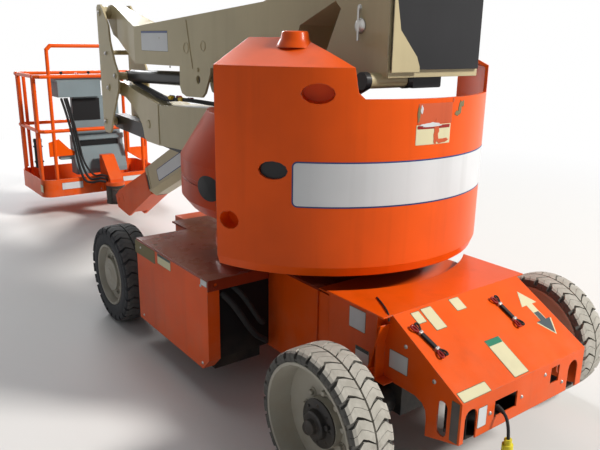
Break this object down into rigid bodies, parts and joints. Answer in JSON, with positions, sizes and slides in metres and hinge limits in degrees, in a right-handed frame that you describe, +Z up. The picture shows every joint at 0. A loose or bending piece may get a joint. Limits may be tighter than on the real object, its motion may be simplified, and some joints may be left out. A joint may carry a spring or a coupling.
{
  "type": "articulating boom lift",
  "caption": "Narrow self-propelled articulating boom lift, stowed: slewing turret, stacked riser arms, telescopic main boom, levelled rotating work platform.",
  "frame": {"origin": "on the floor under the middle of the stowed machine", "axes": "+X forward to the work platform, +Y to the machine's left, +Z up"},
  "size_m": [5.592, 1.5, 1.96],
  "materials": {
    "beige": "gloss paint",
    "black_plastic": "textured",
    "black_steel": "satin paint",
    "cord_rubber": "matt",
    "dark_grey": "satin paint",
    "grey_plastic": "textured",
    "orange": "gloss paint",
    "rim_paint": "dusty paint",
    "rod_chrome": "polished",
    "tyre": "dusty rubber",
    "yellow_rubber": "matt"
  },
  "bodies": {
    "chassis": {"chassis_frame": "orange", "rear_hood": "orange", "deck": "orange", "battery_cover_left": "orange", "battery_cover_right": "orange", "battery_pack_left": "black_plastic", "battery_pack_right": "black_plastic", "front_axle": "black_steel", "rear_axle": "black_steel", "charging_lead": "cord_rubber", "lead_connector": "yellow_rubber"},
    "knuckle_left": {"knuckle_left": "black_steel"},
    "knuckle_right": {"knuckle_right": "black_steel"},
    "wheel_front_left": {"tyre_front_left": "tyre", "rim_front_left": "rim_paint"},
    "wheel_front_right": {"tyre_front_right": "tyre", "rim_front_right": "rim_paint"},
    "wheel_rear_left": {"tyre_rear_left": "tyre", "rim_rear_left": "rim_paint"},
    "wheel_rear_right": {"tyre_rear_right": "tyre", "rim_rear_right": "rim_paint"},
    "turret": {"turntable": "orange", "counterweight": "black_steel", "tail_shroud": "orange"},
    "cowl_left": {"cowl_left": "orange"},
    "cowl_right": {"cowl_right": "orange"},
    "lower_arm": {"lower_arm": "beige"},
    "levelling_link": {"levelling_link": "black_steel"},
    "mid_upright": {"mid_upright": "beige"},
    "upper_arm": {"upper_arm": "beige"},
    "riser_cylinder_barrel": {"riser_cylinder_barrel": "black_steel"},
    "riser_cylinder_rod": {"riser_cylinder_rod": "rod_chrome"},
    "tail_upright": {"tail_upright": "beige", "tail_cover": "dark_grey"},
    "main_boom": {"main_boom": "beige"},
    "fly_boom": {"fly_boom": "orange"},
    "lift_cylinder_barrel": {"lift_cylinder_barrel": "black_steel"},
    "lift_cylinder_rod": {"lift_cylinder_rod": "rod_chrome"},
    "head": {"head": "black_steel"},
    "platform": {"platform_support": "black_steel", "platform_pan": "orange", "platform_rails": "orange", "control_box": "grey_plastic", "console_cover": "grey_plastic"},
    "platform_gate": {"platform_gate": "orange"}
  },
  "joints": [
    {"name": "slew", "type": "hinge", "parent": "chassis", "child": "turret", "pos_m": [-1.5, 0, 0.636], "axis": [0, 0, 1], "range_deg": [-180, 180]},
    {"name": "steer_left", "type": "hinge", "parent": "chassis", "child": "knuckle_left", "pos_m": [-0.47, 0.518, 0.284], "axis": [0, 0, 1], "range_deg": [-35, 35]},
    {"name": "steer_right", "type": "hinge", "parent": "chassis", "child": "knuckle_right", "pos_m": [-0.47, -0.518, 0.284], "axis": [0, 0, 1], "range_deg": [-35, 35]},
    {"name": "roll_front_left", "type": "hinge", "parent": "knuckle_left", "child": "wheel_front_left", "pos_m": [-0.47, 0.661, 0.284], "axis": [0, 1, 0], "continuous": true},
    {"name": "roll_front_right", "type": "hinge", "parent": "knuckle_right", "child": "wheel_front_right", "pos_m": [-0.47, -0.661, 0.284], "axis": [0, 1, 0], "continuous": true},
    {"name": "roll_rear_left", "type": "hinge", "parent": "chassis", "child": "wheel_rear_left", "pos_m": [-2.38, 0.661, 0.284], "axis": [0, 1, 0], "continuous": true},
    {"name": "roll_rear_right", "type": "hinge", "parent": "chassis", "child": "wheel_rear_right", "pos_m": [-2.38, -0.661, 0.284], "axis": [0, 1, 0], "continuous": true},
    {"name": "open_cowl_left", "type": "hinge", "parent": "turret", "child": "cowl_left", "pos_m": [-1.65477, 0.67037, 1.05], "axis": [0, 0, 1], "range_deg": [0, 75]},
    {"name": "open_cowl_right", "type": "hinge", "parent": "turret", "child": "cowl_right", "pos_m": [-1.65477, -0.67037, 1.05], "axis": [0, 0, -1], "range_deg": [0, 75]},
    {"name": "raise_risers", "type": "hinge", "parent": "turret", "child": "lower_arm", "pos_m": [-1.7, 0.08, 1.15], "axis": [0, -1, 0], "range_deg": [0, 66]},
    {"name": "level_link", "type": "hinge", "parent": "turret", "child": "levelling_link", "pos_m": [-1.597, 0.08, 0.89], "axis": [0, -1, 0], "range_deg": [0, 66]},
    {"name": "level_mid_upright", "type": "hinge", "parent": "lower_arm", "child": "mid_upright", "pos_m": [0.82, 0.08, 1.26], "axis": [0, 1, 0], "range_deg": [0, 66]},
    {"name": "fold_upper_arm", "type": "hinge", "parent": "mid_upright", "child": "upper_arm", "pos_m": [0.92, 0.08, 1.795], "axis": [0, 1, 0], "range_deg": [0, 66]},
    {"name": "level_tail_upright", "type": "hinge", "parent": "upper_arm", "child": "tail_upright", "pos_m": [-1.85, 0.08, 1.86], "axis": [0, -1, 0], "range_deg": [0, 66]},
    {"name": "riser_barrel_swing", "type": "hinge", "parent": "mid_upright", "child": "riser_cylinder_barrel", "pos_m": [0.68, 0.08, 1.35], "axis": [0, 1, 0], "range_deg": [0, 63.95]},
    {"name": "riser_rod_out", "type": "slide", "parent": "riser_cylinder_barrel", "child": "riser_cylinder_rod", "axis": [-0.9996, 0, 0.027], "range_m": [0, 0.5488]},
    {"name": "raise_main_boom", "type": "hinge", "parent": "tail_upright", "child": "main_boom", "pos_m": [-1.97, -0.16, 1.8], "axis": [0, -1, 0], "range_deg": [0, 95]},
    {"name": "extend_fly", "type": "slide", "parent": "main_boom", "child": "fly_boom", "axis": [0.907, 0, -0.421], "range_m": [0, 2.3]},
    {"name": "lift_barrel_swing", "type": "hinge", "parent": "tail_upright", "child": "lift_cylinder_barrel", "pos_m": [-1.83, -0.16, 1.53], "axis": [0, -1, 0], "range_deg": [0, 97.05]},
    {"name": "lift_rod_out", "type": "slide", "parent": "lift_cylinder_barrel", "child": "lift_cylinder_rod", "axis": [0.902, 0, -0.4318], "range_m": [0, 0.4474]},
    {"name": "level_head", "type": "hinge", "parent": "fly_boom", "child": "head", "pos_m": [1.51175, -0.16, 0.22792], "axis": [0, 1, 0], "range_deg": [0, 95]},
    {"name": "turn_platform", "type": "hinge", "parent": "head", "child": "platform", "pos_m": [1.79, -0.16, 0.3], "axis": [0, 0, 1], "range_deg": [-90, 90]},
    {"name": "open_gate", "type": "hinge", "parent": "platform", "child": "platform_gate", "pos_m": [2.1313, 0.407, 0.85], "axis": [0, 0, -1], "range_deg": [0, 60]}
  ],
  "couplings": [
    {"joint": "steer_right", "follows": "steer_left", "ratio": 1},
    {"joint": "level_link", "follows": "raise_risers", "ratio": 1},
    {"joint": "level_mid_upright", "follows": "raise_risers", "ratio": 1},
    {"joint": "fold_upper_arm", "follows": "raise_risers", "ratio": 1},
    {"joint": "level_tail_upright", "follows": "raise_risers", "ratio": 1},
    {"joint": "riser_barrel_swing", "follows": "raise_risers", "ratio": 0.96882},
    {"joint": "riser_rod_out", "follows": "raise_risers", "m_per_rad": 0.47622},
    {"joint": "lift_barrel_swing", "follows": "raise_main_boom", "ratio": 1.0215},
    {"joint": "lift_rod_out", "follows": "raise_main_boom", "m_per_rad": 0.2697},
    {"joint": "level_head", "follows": "raise_main_boom", "ratio": 1}
  ]
}
